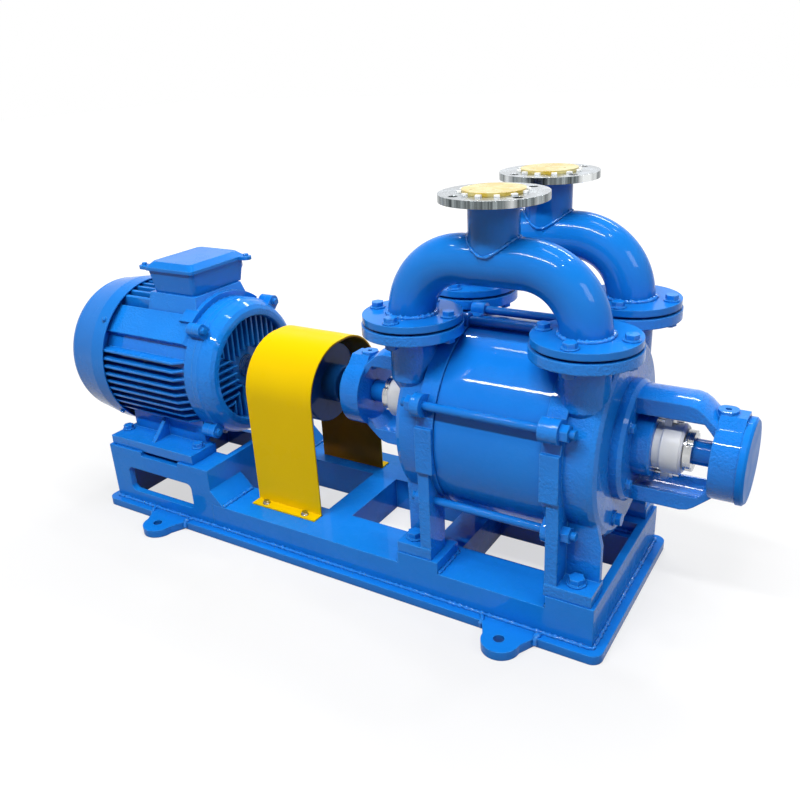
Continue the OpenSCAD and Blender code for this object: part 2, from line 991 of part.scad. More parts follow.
module on_pin_circle() {
    for (i = [0:pin_count - 1])
        translate([0, 0, shaft_z])
            rotate([i * 360 / pin_count, 0, 0])
                translate([0, 0, pin_circle_r - shaft_z])
                    children();
}

// Pins pressed into the pump half, with a round head at the motor side
module coupling_pins() {
    head_x = motor_half_x - half_t - 1;
    color(steel)
        on_pin_circle() {
            bar_x(pin_r, head_x, pump_half_x + half_t - 2);
            bar_x(bush_r - 2, head_x - 5, head_x);
        }
}

module coupling_bushes() {
    color(rubber)
        on_pin_circle()
            difference() {
                bar_x(bush_r, motor_half_x - half_t - 1, motor_half_x + 1);
                bar_x(pin_r, motor_half_x - half_t - 2, motor_half_x + 2);
            }
}

module pump_key_slot() {
    block([pump_half_x + 6, -key_w / 2, shaft_z + coupling_seat_r - 5],
        [pump_half_x + half_t + pump_hub_len - 4, key_w / 2, shaft_z + coupling_seat_r - 5 + key_h]);
}

module pump_key() {
    color(steel)
        pump_key_slot();
}

// Guard sheet outline across the shaft, grown inwards by the sheet thickness
module guard_outline(inset) {
    half = guard_w / 2 - inset;
    bend = guard_bend - inset;
    top = guard_top - inset - shaft_z;
    low = rail_h - shaft_z;
    translate([-half, low])
        square([2 * half, top - bend - low]);
    translate([-half + bend, low])
        square([2 * (half - bend), top - low]);
    for (s = [-1, 1])
        translate([s * (half - bend), top - bend])
            circle(bend);
}

module coupling_guard() {
    color(yellow)
        difference() {
            union() {
                section_x(guard_x0, guard_x0 + guard_len)
                    difference() {
                        guard_outline(0);
                        translate([0, -1])
                            guard_outline(guard_t);
                        translate([-guard_w / 2 + guard_t, rail_h - shaft_z - 2])
                            square([guard_w - 2 * guard_t, 20]);
                    }
                both_sides()
                    block([guard_x0, -guard_w / 2 - guard_foot, rail_h],
                        [guard_x0 + guard_len, -guard_w / 2 + guard_t, rail_h + guard_t]);
            }
            translate([0, 0, base_wall - 2])
                guard_holes();
        }
}

module guard_bolts() {
    color(steel)
        both_sides()
            for (dx = guard_bolt_x)
                translate([guard_x0 + dx, -guard_w / 2 - guard_foot / 2, rail_h + guard_t])
                    hex_bolt(7.5, guard_t + base_wall - 2);
}

// Repeats a piece at given angles on a circle round the shaft
module on_circle(angles, r) {
    for (a = angles)
        translate([0, r * cos(a), r * sin(a)])
            children();
}

module pump_casing() {
    color(blue)
        difference() {
            bar_x(casing_r, pump_x - casing_half, pump_x + casing_half);
            bar_x(bore_r, pump_x - casing_half - 1, pump_x + casing_half + 1, 0, -eccentricity);
        }
}

// Rim, tie rod ears, side pads and legs of an end cover, seen along the shaft
module cover_rim_outline() {
    circle(rim_r);
    for (s = [-1, 1])
        translate([s * (rim_r - 10), -6])
            square([26, 80], center = true);
}

module rod_ears(angles, r, ear_r) {
    for (a = angles)
        rotate(a) {
            translate([r, 0])
                circle(ear_r);
            translate([r - 30, -ear_r])
                square([30, 2 * ear_r]);
        }
}

module leg_outline() {
    for (s = [-1, 1])
        translate([s * (leg_in + leg_out) / 2, (foot_base_z - shaft_z - 30) / 2])
            square([leg_out - leg_in, shaft_z - foot_base_z - 30], center = true);
}

// Foot plate and upright web that back a cover leg
module cover_foot(foot_end) {
    leg_x = rim_end - leg_t;
    block([leg_x, -leg_out - 2, foot_base_z], [foot_end, -leg_in, foot_base_z + pump_foot_t]);
    section_y(-leg_in - 10, -leg_in)
        polygon([[rim_end - 1, foot_base_z + 1], [foot_end - 2, foot_base_z + 1],
            [foot_end - 2, foot_base_z + pump_foot_t + 64], [cover_end - 4, shaft_z - 86],
            [rim_end - 1, shaft_z - 86]]);
}

// Port neck with a round bottom and its flange, on the near side
module cover_neck(port_u) {
    translate([port_u, -port_span / 2, 0]) {
        translate([0, 0, neck_round_z])
            cylinder(r = neck_r, h = cover_face_z - neck_round_z);
        translate([0, 0, neck_round_z - neck_tail])
            cylinder(r1 = neck_r - 28, r2 = neck_r, h = neck_tail);
        translate([0, 0, cover_face_z - cover_flange_t])
            cylinder(d = cover_flange_d, h = cover_flange_t);
    }
}

// Suction and discharge chambers behind the port plate, split by an upright wall
module cover_chambers() {
    wall = 7;
    deep = cover_end - 14;
    start = casing_half + plate_t;
    intersection() {
        turned([[box_out_r + 8, start - 1], [138, start - 1], [138, deep - 10], [128, deep],
            [box_out_r + 8, deep]]);
        both_sides()
            block([start - 2, -rod_r, shaft_z - rod_r], [deep + 1, -wall, shaft_z + rod_r]);
    }
}

module end_cover(port_u, ear_start, foot_end) {
    difference() {
        union() {
            section_x(rim_start, rim_end)
                cover_rim_outline();
            section_x(ear_start, rim_end)
                rod_ears(rod_angles, rod_r, lug_r);
            section_x(rim_start, top_lug_end)
                rod_ears(top_stud_angles, top_stud_r, top_lug_r);
            section_x(rim_end - leg_t, rim_end)
                leg_outline();
            turned([[0, rim_end - 1], [barrel_out_r, rim_end - 1], [barrel_out_r, cover_end - 12],
                [barrel_out_r - 4, cover_end - 4], [barrel_out_r - 12, cover_end], [box_out_r, cover_end],
                [box_out_r, box_end - 3], [box_out_r - 3, box_end], [0, box_end]]);
            both_sides() {
                cover_foot(foot_end);
                cover_neck(port_u);
            }
        }
        cover_chambers();
        both_sides()
            translate([port_u, -port_span / 2, neck_round_z + 2])
                cylinder(r = port_bore_r, h = leg_face_z - shaft_z);
        turned([[0, 0], [plate_r, 0], [plate_r, casing_half + plate_t], [throat_r, casing_half + plate_t],
            [throat_r, packing_start], [packing_r, packing_start], [packing_r, box_end + 1],
            [0, box_end + 1]]);
        on_circle(top_stud_angles, top_stud_r)
            bar_x(rod_d / 2, casing_half / 2, top_lug_end - 4);
        on_circle(rod_angles, rod_r)
            bar_x(rod_d / 2, rim_start - 1, rim_end + 12);
        both_sides() {
            translate([port_u, -port_span / 2, cover_face_z - cover_flange_t - 1])
                flange_holes(cover_flange_t + 2, 0);
            translate([foot_bolt, -foot_bolt_y, foot_base_z - 1])
                cylinder(d = 16, h = pump_foot_t + 2);
        }
        for (a = [90, 270])
            bar_x(4, box_end - 20, box_end + 1, stud_r * cos(a), stud_r * sin(a));
        for (a = bracket_bolt_angles)
            bar_x(5, cover_end - 12, cover_end + 1, bracket_bolt_r * cos(a), bracket_bolt_r * sin(a));
        for (y = [-drain_y, drain_y])
            bar_x(9, cover_end - 15, cover_end + 1, y, -drain_drop);
    }
}

// Bolt holes of one flange, first one at the angle turn
module flange_holes(h, turn) {
    for (i = [0:3])
        rotate(turn + i * 90)
            translate([bolt_circle / 2, 0, 0])
                cylinder(d = bolt_hole, h = h);
}

bracket_bolt_r = 77;
bracket_bolt_angles = [38, 142, 218, 322];
drain_y = 52;
drain_drop = 118;

module drive_end_cover() {
    color(blue)
        pump_end(-1)
            end_cover(pump_x - port_x + port_pitch / 2, rim_start + 14, drive_foot_end);
}

module free_end_cover() {
    color(blue)
        pump_end(1)
            end_cover(port_x - pump_x + port_pitch / 2, rim_start, free_foot_end);
}

// Port plate with its suction and discharge windows and the small valve holes
module port_plate() {
    color(iron)
        section_x(casing_half, casing_half + plate_t)
            difference() {
                circle(plate_r);
                circle(throat_r + 3);
                port_window(box_out_r + 8, plate_r - 46, 196, 262);
                port_window(box_out_r + 8, plate_r - 58, -50, -8);
                for (i = [0:4])
                    rotate(2 + i * 9)
                        translate([plate_r - 38, 0])
                            circle(5);
            }
}

// Ring sector between two angles
module port_window(r_in, r_out, a0, a1) {
    reach = 2 * plate_r;
    intersection() {
        difference() {
            circle(r_out);
            circle(r_in);
        }
        polygon([[0, 0], reach * [cos(a0), sin(a0)], reach * [cos(a1), sin(a1)]]);
    }
}

module drive_port_plate() {
    pump_end(-1)
        port_plate();
}

module free_port_plate() {
    pump_end(1)
        port_plate();
}

// Vanes that leave the hub square and curve forward
module impeller_outline() {
    circle(impeller_hub_r);
    intersection() {
        circle(impeller_d / 2);
        for (i = [0:vane_count - 1])
            rotate(i * 360 / vane_count)
                intersection() {
                    translate([impeller_hub_r - 4, vane_arc])
                        difference() {
                            circle(vane_arc + vane_t / 2);
                            circle(vane_arc - vane_t / 2);
                        }
                    translate([impeller_hub_r - 6, -vane_t])
                        square([impeller_d / 2, vane_arc]);
                }
    }
}

module impeller() {
    half = casing_half - impeller_clear;
    color(iron)
        difference() {
            section_x(pump_x - half, pump_x + half)
                impeller_outline();
            bar_x(hub_seat_r, pump_x - casing_half, pump_x + casing_half);
            impeller_key_slot();
        }
}

module impeller_key_slot() {
    block([pump_x - 60, -key_w / 2, shaft_z + hub_seat_r - 5],
        [pump_x + 60, key_w / 2, shaft_z + hub_seat_r - 5 + key_h]);
}

module impeller_key() {
    color(steel)
        impeller_key_slot();
}

module pump_shaft() {
    free_end = bearing_start + bearing_w + 1;
    color(blue)
        difference() {
            translate([pump_x, 0, 0])
                turned([[0, -shaft_drive_end], [coupling_seat_r - 2, -shaft_drive_end],
                    [coupling_seat_r, 2 - shaft_drive_end], [coupling_seat_r, -housing_end],
                    [journal_r, -housing_end], [journal_r, -lock_x1], [sleeve_seat_r, -lock_x1],
                    [sleeve_seat_r, -casing_half + 1], [hub_seat_r, -casing_half + 1],
                    [hub_seat_r, casing_half - 1], [sleeve_seat_r, casing_half - 1],
                    [sleeve_seat_r, lock_x1], [journal_r, lock_x1], [journal_r, free_end - 2],
                    [journal_r - 2, free_end], [0, free_end]]);
            impeller_key_slot();
            pump_key_slot();
        }
}

module shaft_sleeves() {
    color(steel)
        on_both_ends()
            ring_x(sleeve_r, sleeve_seat_r, casing_half - impeller_clear, lock_x0);
}

module packing_rings() {
    color(rubber)
        on_both_ends()
            for (i = [0:packing_count - 1])
                ring_x(packing_r, sleeve_r + run_fit, packing_start + i * packing_w,
                    packing_start + (i + 1) * packing_w - packing_gap);
}

// Gland ring with a nose that presses on the packing and two stud ears
module packing_glands() {
    color(white)
        on_both_ends()
            difference() {
                union() {
                    turned([[throat_r, packing_end], [packing_r - 0.2, packing_end],
                        [packing_r - 0.2, gland_x0], [gland_r - 2, gland_x0], [gland_r, gland_x0 + 2],
                        [gland_r, gland_x1 - 4],
                        [gland_r - 4, gland_x1], [throat_r, gland_x1]]);
                    section_x(gland_x0, gland_x0 + 11)
                        difference() {
                            for (s = [-1, 1])
                                translate([0, s * (stud_r - 4)])
                                    round_rect(22, 26, 8);
                            circle(throat_r + 1);
                        }
                }
                for (s = [-1, 1])
                    bar_x(4.5, gland_x0 - 1, gland_x0 + 12, 0, s * stud_r);
            }
}

module gland_studs() {
    color(steel)
        on_both_ends()
            for (s = [-1, 1]) {
                bar_x(4, box_end - 20, gland_x0 + 26, 0, s * stud_r);
                translate([gland_x0 + 11, 0, shaft_z + s * stud_r])
                    rotate([0, 90, 0])
                        hex_prism(8, 6.5);
            }
}

// Castellated lock rings at the sleeve ends
module sleeve_lock_rings() {
    color(steel)
        on_both_ends()
            difference() {
                ring_x(lock_r, sleeve_seat_r, lock_x0, lock_x1);
                on_circle([45, 135, 225, 315], lock_r + 1)
                    bar_x(5, lock_x0 + 3, lock_x1 + 1);
            }
}

// Yoke with a root flange, two arms and a bearing housing
module bearing_bracket() {
    root_end = cover_end + root_t;
    slope = arm_r - housing_r;
    difference() {
        union() {
            turned([[box_out_r, cover_end], [root_r, cover_end], [root_r, root_end - 6], [arm_r, root_end],
                [arm_r, housing_start - slope - 12], [arm_r - 2.5, housing_start - slope - 1],
                [arm_r - 8, housing_start - slope + 8], [housing_r, housing_start + 4],
                [housing_r, housing_end],
                [0, housing_end], [0, housing_start], [arm_in_r - 16, housing_start],
                [arm_in_r, housing_start - 16], [arm_in_r, root_end], [box_out_r, root_end]]);
            housing_top();
        }
        for (s = [-1, 1])
            difference() {
                block([root_end, min(s * arm_w / 2, s * 120), shaft_z - 120],
                    [housing_start + 5, max(s * arm_w / 2, s * 120), shaft_z + 120]);
                bar_x(housing_r, housing_start, housing_end);
            }
        bar_x(bearing_r, bearing_start, housing_end + 1);
        bar_x(journal_r + 1, housing_start - 1, housing_end);
        for (a = bracket_bolt_angles)
            bar_x(5, cover_end - 1, root_end + 1, bracket_bolt_r * cos(a), bracket_bolt_r * sin(a));
        translate([housing_start + 9, 0, shaft_z + bearing_r - 2])
            cylinder(d = 9, h = 60);
    }
}

// Filler boss and flat ridge with straight flanks on top of the bearing housing
module housing_top() {
    intersection() {
        union() {
            translate([housing_start + 9, 0, shaft_z + bearing_r])
                cylinder(r = 15, h = housing_r - bearing_r + 13);
            section_x(housing_start + 1, housing_end)
                polygon([[-ridge_foot, ridge_foot_z], [-ridge_half, housing_r + 8],
                    [ridge_half, housing_r + 8], [ridge_foot, ridge_foot_z]]);
        }
        bar_x(housing_r + 14, housing_start - 6, housing_end);
    }
}

module drive_bearing_bracket() {
    color(blue)
        pump_end(-1)
            bearing_bracket();
}

module free_bearing_bracket() {
    color(blue)
        pump_end(1)
            bearing_bracket();
}

module bracket_bolts() {
    color(blue)
        on_both_ends()
            for (a = bracket_bolt_angles)
                translate([cover_end + root_t, bracket_bolt_r * cos(a), shaft_z + bracket_bolt_r * sin(a)])
                    rotate([0, 90, 0])
                        hex_bolt(9.5, root_t + 10);
}

module pump_outer_rings() {
    color(steel)
        on_both_ends()
            ring_x(bearing_r, bearing_r - bearing_wall, bearing_start, bearing_start + bearing_w);
}

module pump_inner_rings() {
    color(steel)
        on_both_ends()
            ring_x(journal_r + bearing_wall, journal_r, bearing_start, bearing_start + bearing_w);
}

// Cap over the drive bearing, open for the shaft
module drive_bearing_cap() {
    color(blue)
        pump_end(-1)
            turned([[coupling_seat_r + 1, housing_end], [bearing_r - bearing_wall + 2, housing_end],
                [bearing_r - bearing_wall + 2, bearing_start + bearing_w],
                [bearing_r, bearing_start + bearing_w], [bearing_r, housing_end], [drive_cap_r, housing_end],
                [drive_cap_r, housing_end + cap_t - 3], [drive_cap_r - 3, housing_end + cap_t],
                [coupling_seat_r + 1, housing_end + cap_t]]);
}

// Closed cap over the free bearing
module free_bearing_cap() {
    color(blue)
        pump_end(1)
            turned([[0, housing_end], [bearing_r - bearing_wall + 2, housing_end],
                [bearing_r - bearing_wall + 2, bearing_start + bearing_w],
                [bearing_r, bearing_start + bearing_w], [bearing_r, housing_end],
                [housing_r + 2, housing_end], [housing_r + 2, housing_end + cap_t - 4],
                [housing_r - 2, housing_end + cap_t],
                [0, housing_end + cap_t]]);
}

module tie_rods() {
    color(blue)
        translate([pump_x, 0, 0]) {
            on_circle(top_stud_angles, top_stud_r)
                bar_x(rod_d / 2, 5 - top_lug_end, top_lug_end - 5);
            on_circle(rod_angles, rod_r)
                bar_x(rod_d / 2, -rim_end - 22, rim_end + 22);
        }
}

module tie_rod_nuts() {
    color(blue)
        on_both_ends()
            on_circle(rod_angles, rod_r)
                translate([rim_end, 0, shaft_z])
                    rotate([0, 90, 0])
                        difference() {
                            hex_prism(16, 13);
                            translate([0, 0, -1])
                                cylinder(d = rod_d, h = 15);
                        }
}

module pump_foot_bolts() {
    color(blue)
        both_sides()
            on_both_ends()
                translate([foot_bolt, -foot_bolt_y, foot_base_z + pump_foot_t])
                    hex_bolt(15, pump_foot_t + pump_pad_h + base_wall - 2);
}

module drain_plugs() {
    color(blue)
        on_both_ends()
            for (y = [-drain_y, drain_y])
                translate([cover_end, y, shaft_z - drain_drop])
                    rotate([0, 90, 0]) {
                        translate([0, 0, -12])
                            cylinder(r = 9, h = 12);
                        cylinder(r = 13, h = 4);
                        translate([0, 0, 4])
                            hex_prism(13, 9);
                    }
}

// Swept pipe of one manifold: two legs, two elbows and the run between them
module arch_pipe(r, over) {
    leg = bend_z - leg_base_z;
    half = port_pitch / 2;
    for (s = [0, 1])
        mirror([s, 0, 0]) {
            translate([half, 0, leg_base_z - over])
                cylinder(r = r, h = leg + over);
            translate([half - elbow_r, 0, bend_z])
                rotate([90, 0, 0])
                    rotate_extrude(angle = 90)
                        translate([elbow_r, 0])
                            circle(r);
        }
    translate([elbow_r - half, 0, run_z])
        rotate([0, 90, 0])
            cylinder(r = r, h = 2 * (half - elbow_r));
    translate([0, 0, run_z])
        cylinder(r = r, h = top_face_z - run_z + over);
}

module manifold(side) {
    color(blue)
        translate([port_x, side * port_span / 2, 0])
            difference() {
                union() {
                    arch_pipe(pipe_d / 2, 0);
                    for (s = [-1, 1])
                        translate([s * port_pitch / 2, 0, leg_base_z])
                            cylinder(d = flange_d, h = flange_t);
                }
                arch_pipe(port_bore_r, 1);
                for (s = [-1, 1])
                    translate([s * port_pitch / 2, 0, leg_base_z - 1])
                        flange_holes(flange_t + 2, 0);
            }
}

module suction_manifold() {
    manifold(-1);
}

module discharge_manifold() {
    manifold(1);
}

module top_flange(side) {
    color(steel)
        translate([port_x, side * port_span / 2, top_base_z])
            difference() {
                cylinder(d = flange_d, h = flange_t);
                translate([0, 0, -1])
                    cylinder(d = pipe_d, h = flange_t + 2);
                translate([0, 0, -1])
                    flange_holes(flange_t + 2, top_turn);
            }
}

module suction_flange() {
    top_flange(-1);
}

module discharge_flange() {
    top_flange(1);
}

module on_ports() {
    for (s = [-1, 1], side = [-1, 1])
        translate([port_x + s * port_pitch / 2, side * port_span / 2, 0])
            children();
}

// Flat rings at the four cover ports and at both ends of the casing
module gaskets() {
    color(rubber) {
        on_ports()
            translate([0, 0, cover_face_z])
                difference() {
                    cylinder(r = bolt_circle / 2 - bolt_hole / 2 - 2, h = gasket_gap);
                    translate([0, 0, -1])
                        cylinder(r = port_bore_r, h = gasket_gap + 2);
                }
        on_both_ends()
            ring_x(casing_r - 1, plate_r + 1, casing_half, rim_start);
    }
}

// Bolts down through the leg flanges with nuts under the cover flanges
module flange_bolts() {
    grip = flange_t + gasket_gap + cover_flange_t;
    color(blue)
        on_ports()
            for (i = [0:3])
                rotate(i * 90)
                    translate([bolt_circle / 2, 0, leg_face_z]) {
                        hex_bolt(12, grip + 12);
                        translate([0, 0, -grip - 10])
                            hex_prism(12, 10);
                    }
}

// Plastic caps that close the connections, with a plug in the pipe
module port_caps() {
    color(cap_yellow)
        for (side = [-1, 1])
            translate([port_x, side * port_span / 2, top_face_z]) {
                cylinder(r = cap_r, h = cap_h);
                translate([0, 0, -16])
                    difference() {
                        cylinder(r = port_bore_r, h = 17);
                        translate([0, 0, -1])
                            cylinder(r = port_bore_r - 2, h = 17);
                    }
            }
}

// Pull tabs round the edge of the caps
module cap_tab_rings() {
    color(white)
        for (side = [-1, 1], i = [0:11])
            translate([port_x, side * port_span / 2, top_face_z])
                rotate(i * 30)
                    translate([cap_r, -4, 0])
                        difference() {
                            cube([6, 8, 3]);
                            translate([-cap_r, 4, -1])
                                cylinder(r = cap_r, h = 5);
                        }
}

base_frame();
foot_strip();
motor_pedestal();
motor_frame();
stator_core();
stator_windings();
drive_end_shield();
fan_end_shield();
fan_cowl();
terminal_box();
terminal_box_lid();
terminal_block();
cable_gland();
motor_foot_bolts();
end_shield_bolts();
motor_outer_rings();
motor_shaft();
rotor_core();
cooling_fan();
motor_inner_rings();
motor_key();
coupling_motor_half();
coupling_pump_half();
coupling_pins();
coupling_bushes();
pump_key();
coupling_guard();
guard_bolts();
pump_casing();
drive_end_cover();
free_end_cover();
drive_port_plate();
free_port_plate();
impeller();
pump_shaft();
impeller_key();
shaft_sleeves();
packing_rings();
packing_glands();
gland_studs();
sleeve_lock_rings();
drive_bearing_bracket();
free_bearing_bracket();
bracket_bolts();
pump_outer_rings();
pump_inner_rings();
drive_bearing_cap();
free_bearing_cap();
tie_rods();
tie_rod_nuts();
pump_foot_bolts();
drain_plugs();
suction_manifold();
discharge_manifold();
suction_flange();
discharge_flange();
gaskets();
flange_bolts();
port_caps();
cap_tab_rings();
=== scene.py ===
import json
import math
import random

import bmesh
import bpy
from mathutils import Matrix, Vector


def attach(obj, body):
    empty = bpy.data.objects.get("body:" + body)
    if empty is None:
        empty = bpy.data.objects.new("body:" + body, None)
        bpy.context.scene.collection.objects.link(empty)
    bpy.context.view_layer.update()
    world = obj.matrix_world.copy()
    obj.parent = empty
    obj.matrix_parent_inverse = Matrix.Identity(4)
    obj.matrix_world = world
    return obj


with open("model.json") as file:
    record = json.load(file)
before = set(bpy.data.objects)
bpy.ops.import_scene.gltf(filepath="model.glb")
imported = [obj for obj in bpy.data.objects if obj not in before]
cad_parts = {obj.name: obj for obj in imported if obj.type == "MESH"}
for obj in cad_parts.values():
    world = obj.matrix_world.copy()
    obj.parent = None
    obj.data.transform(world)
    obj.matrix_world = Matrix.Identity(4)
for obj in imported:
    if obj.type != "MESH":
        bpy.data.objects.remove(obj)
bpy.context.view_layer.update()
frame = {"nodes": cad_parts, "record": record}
cad = frame["nodes"]

# Camera, solved from the photograph
CAMERA_PLACE = (0.8130, -1.1674, 0.8826)
CAMERA_AZIMUTH = math.radians(32.60)
CAMERA_ELEVATION = math.radians(23.19)
CAMERA_ROLL = math.radians(-3.07)
CAMERA_LENS, CAMERA_SENSOR = 36.79, 36.0
CAMERA_FAR = 60.0

# Places on the set, in metres
SHAFT_Z = 0.300
BASE_X0, BASE_X1, BASE_HALF = -0.564, 0.504, 0.172
STRIP_OUT, STRIP_H = 0.018, 0.016
RAIL_X0, RAIL_Z = -0.283, 0.066
RIDGE_FOOT, RIDGE_IN = 0.031, 0.082
PAD_IN, PAD_EDGES = 0.098, (0.1545, 0.2325, 0.4255)
END_WALL_IN = 0.016
TONGUE_X, TONGUE_SIDES = (-0.400, 0.367), (-0.0445, 0.0500)
PORT_X, PORT_Y, PORT_HALF = 0.3075, 0.1035, 0.143
LEG_FACE_Z, RUN_Z, TOP_FLANGE_Z = 0.500, 0.593, 0.682
PIPE_R = 0.038
COWL_RIM_X, COWL_R = -0.552, 0.159
COWL_SCREW_IN, COWL_SCREW_ANGLES = 0.013, (40.0, 140.0, 220.0, 320.0)
LID_X, LID_Y, LID_EAR_Z = -0.416, 0.010, 0.508
LID_EAR_OUT = (0.076, 0.067)
GUARD_HALF, GUARD_ARC_Z, GUARD_ARC_R = 0.111, 0.291, 0.100

# Weld beads and screw heads, in metres
WELD_OUT = 0.0012
STRIP_WELD_R, TONGUE_WELD_R, PAD_WELD_R, RIDGE_WELD_R = 0.0034, 0.0040, 0.0034, 0.0036
LEG_WELD_R, TOP_WELD_R, SADDLE_WELD_R = 0.0036, 0.0032, 0.0022
STRIP_STEP, TONGUE_STEP, PLATE_STEP = 0.0032, 0.0028, 0.003
RING_STEPS, SADDLE_STEPS = 92, 100
SADDLE_SOFTEN, SADDLE_OUT = 0.93, 0.0004
# Ripple, grain and tapered ends as shares of a bead's radius; the ripple's turn per step in radians
RIPPLE, RIPPLE_TURN, BEAD_GRAIN, BEAD_END = 0.16, 1.9, 0.36, 0.45
COWL_SCREW_R, COWL_SCREW_H, COWL_SCREW_SUNK = 0.0052, 0.0048, 0.0008
LID_SCREW_R, LID_SCREW_H, LID_SCREW_SUNK = 0.0058, 0.0050, 0.0006
# Washer face's radii, height and middle, and the head's middle, as shares of the head's radius and height
WASHER_FOOT, WASHER_TOP, WASHER_H, WASHER_Z, HEAD_Z = 1.45, 1.38, 0.24, 0.10, 0.60
WASHER_RIM, HEAD_RIM = 0.0005, 0.0008

# Colours
BLUE = (0.0060, 0.200, 0.720, 1.0)
BLUE_THIN = (0.0085, 0.228, 0.770, 1.0)
# the next colour is painted shade, laid into hollows
BLUE_HOLLOW_SHADE = (0.0025, 0.085, 0.370, 1.0)
# the next colour is painted highlight, laid along edges
BLUE_EDGE_HIGHLIGHT = (0.0800, 0.400, 0.920, 1.0)
BLUES = (BLUE_THIN, BLUE, BLUE_HOLLOW_SHADE, BLUE_EDGE_HIGHLIGHT)
PIPE_DEPTH = 0.86
PIPE_BLUES = tuple(tuple(c * PIPE_DEPTH for c in colour[:3]) + (1.0,) for colour in BLUES)
# coupling blues: the third is painted shade for hollows, the fourth painted highlight for edges
DARKS = ((0.005, 0.062, 0.215, 1.0), (0.004, 0.050, 0.180, 1.0),
         (0.003, 0.020, 0.080, 1.0), (0.020, 0.120, 0.340, 1.0))
STEEL, IRON = (0.60, 0.61, 0.62, 1.0), (0.30, 0.30, 0.31, 1.0)
# the next three colours are painted reflections on the flange rim: dark and pale streaks and bright glints
RIM_REFLECTION_DARK, RIM_REFLECTION_PALE = (0.022, 0.030, 0.032, 1.0), (0.32, 0.36, 0.37, 1.0)
RIM_REFLECTION_GLINT = (0.78, 0.80, 0.80, 1.0)
FACE_PALE, FACE_GREY = (0.50, 0.545, 0.59, 1.0), (0.36, 0.39, 0.42, 1.0)
FACE_STAIN = (0.30, 0.33, 0.36, 1.0)
GUARD_YELLOW, GUARD_THIN = (0.80, 0.530, 0.001, 1.0), (0.86, 0.575, 0.001, 1.0)
# the next colour is painted highlight for the guard's edges
GUARD_EDGE_HIGHLIGHT = (0.90, 0.68, 0.04, 1.0)
# the next two colours are painted shade, a dark brown laid inside the guard's bend
GUARD_INNER_SHADE, GUARD_INNER_SHADE_DARK = (0.44, 0.17, 0.006, 1.0), (0.30, 0.11, 0.006, 1.0)
# the paler cap colour is partly the film's own tone and partly painted highlight on its creases
CAP_YELLOW, CAP_PALE_AND_HIGHLIGHT = (0.48, 0.330, 0.012, 1.0), (0.55, 0.475, 0.18, 1.0)
WINDING, WINDING_DARK = (0.42, 0.14, 0.04, 1.0), (0.34, 0.10, 0.03, 1.0)
RUBBER, RUBBER_WORN = (0.018, 0.018, 0.018, 1.0), (0.028, 0.027, 0.026, 1.0)
BLACK, BLACK_WORN = (0.020, 0.020, 0.021, 1.0), (0.030, 0.030, 0.030, 1.0)
WHITE, WHITE_DULL = (0.88, 0.89, 0.88, 1.0), (0.80, 0.81, 0.80, 1.0)
BACKDROP_TINT, BACKDROP_WHITE = (0.93, 0.96, 1.0, 1.0), (1.0, 1.0, 1.0, 1.0)
FLOOR_TONE = (0.26, 0.26, 0.26, 1.0)

# Paint and metal surfaces: noise scales, and heights in metres
WAVE_SCALE, WAVE_H = 9.0, 0.010
LUMP_SCALE, LUMP_PATCH, LUMP_H = 240.0, 16.0, 0.0040
PEEL_SCALE, PEEL_H = 430.0, 0.0006
HOLLOW_SHADE_REACH = 0.03
TOOL_LINES = (240.0, 6.0, 6.0)
TOOL_LINE_H = 0.0004
# the first two scales size the painted reflection streaks and glints on the flange rim
RIM_REFLECTION_STREAKS, RIM_GLINT_RUNS, FACE_LINES = (26.0, 26.0, 0.4), (4.5, 4.5, 0.2), (4.0, 4.0, 260.0)
RING_SCALE = 620.0
INNER_SHADE_FROM, INNER_SHADE_TO = 0.0022, 0.0014

# Studio
BACKDROP_FILL = 0.09
DIM_FROM, DIM_TO, DIM_OVERHEAD = 0.40, 0.75, 0.22
FLOOR_HALF, FLOOR_DROP = 14.0, 0.0006
GLOW_FROM, GLOW_TO, GLOW_NEAR, GLOW_FAR = 0.5, 2.6, 0.64, 1.0
BAY_SIZE, BAY_POWER = (0.12, 0.12), 5.0
LAMPS = (
    ("front_tube", (0.0, -1.8, 3.0), (0.05, 0.0, 0.40), (2.4, 0.15), 90.0),
    ("top_tube", (0.2, 0.4, 3.2), (0.1, 0.0, 0.40), (2.4, 0.12), 24.0),
    ("rear_tube", (0.0, 2.3, 2.5), (0.0, 0.0, 0.40), (2.2, 0.20), 46.0),
    ("end_lamp", (2.6, -0.7, 1.9), (0.3, 0.0, 0.35), (0.9, 0.9), 17.0),
    ("bay_lamp_1", (-1.3, -1.0, 3.1), (-0.2, 0.0, 0.35), BAY_SIZE, BAY_POWER),
    ("bay_lamp_2", (-0.6, -1.3, 3.3), (0.0, 0.0, 0.35), BAY_SIZE, BAY_POWER),
    ("bay_lamp_3", (0.8, -1.3, 3.3), (0.2, 0.0, 0.35), BAY_SIZE, BAY_POWER),
    ("bay_lamp_4", (1.5, -0.8, 3.1), (0.3, 0.0, 0.35), BAY_SIZE, BAY_POWER),
    ("bay_lamp_5", (1.3, 1.0, 2.6), (0.3, 0.0, 0.35), BAY_SIZE, BAY_POWER),
    ("bay_lamp_6", (-1.0, 1.1, 2.7), (-0.2, 0.0, 0.35), BAY_SIZE, BAY_POWER),
)


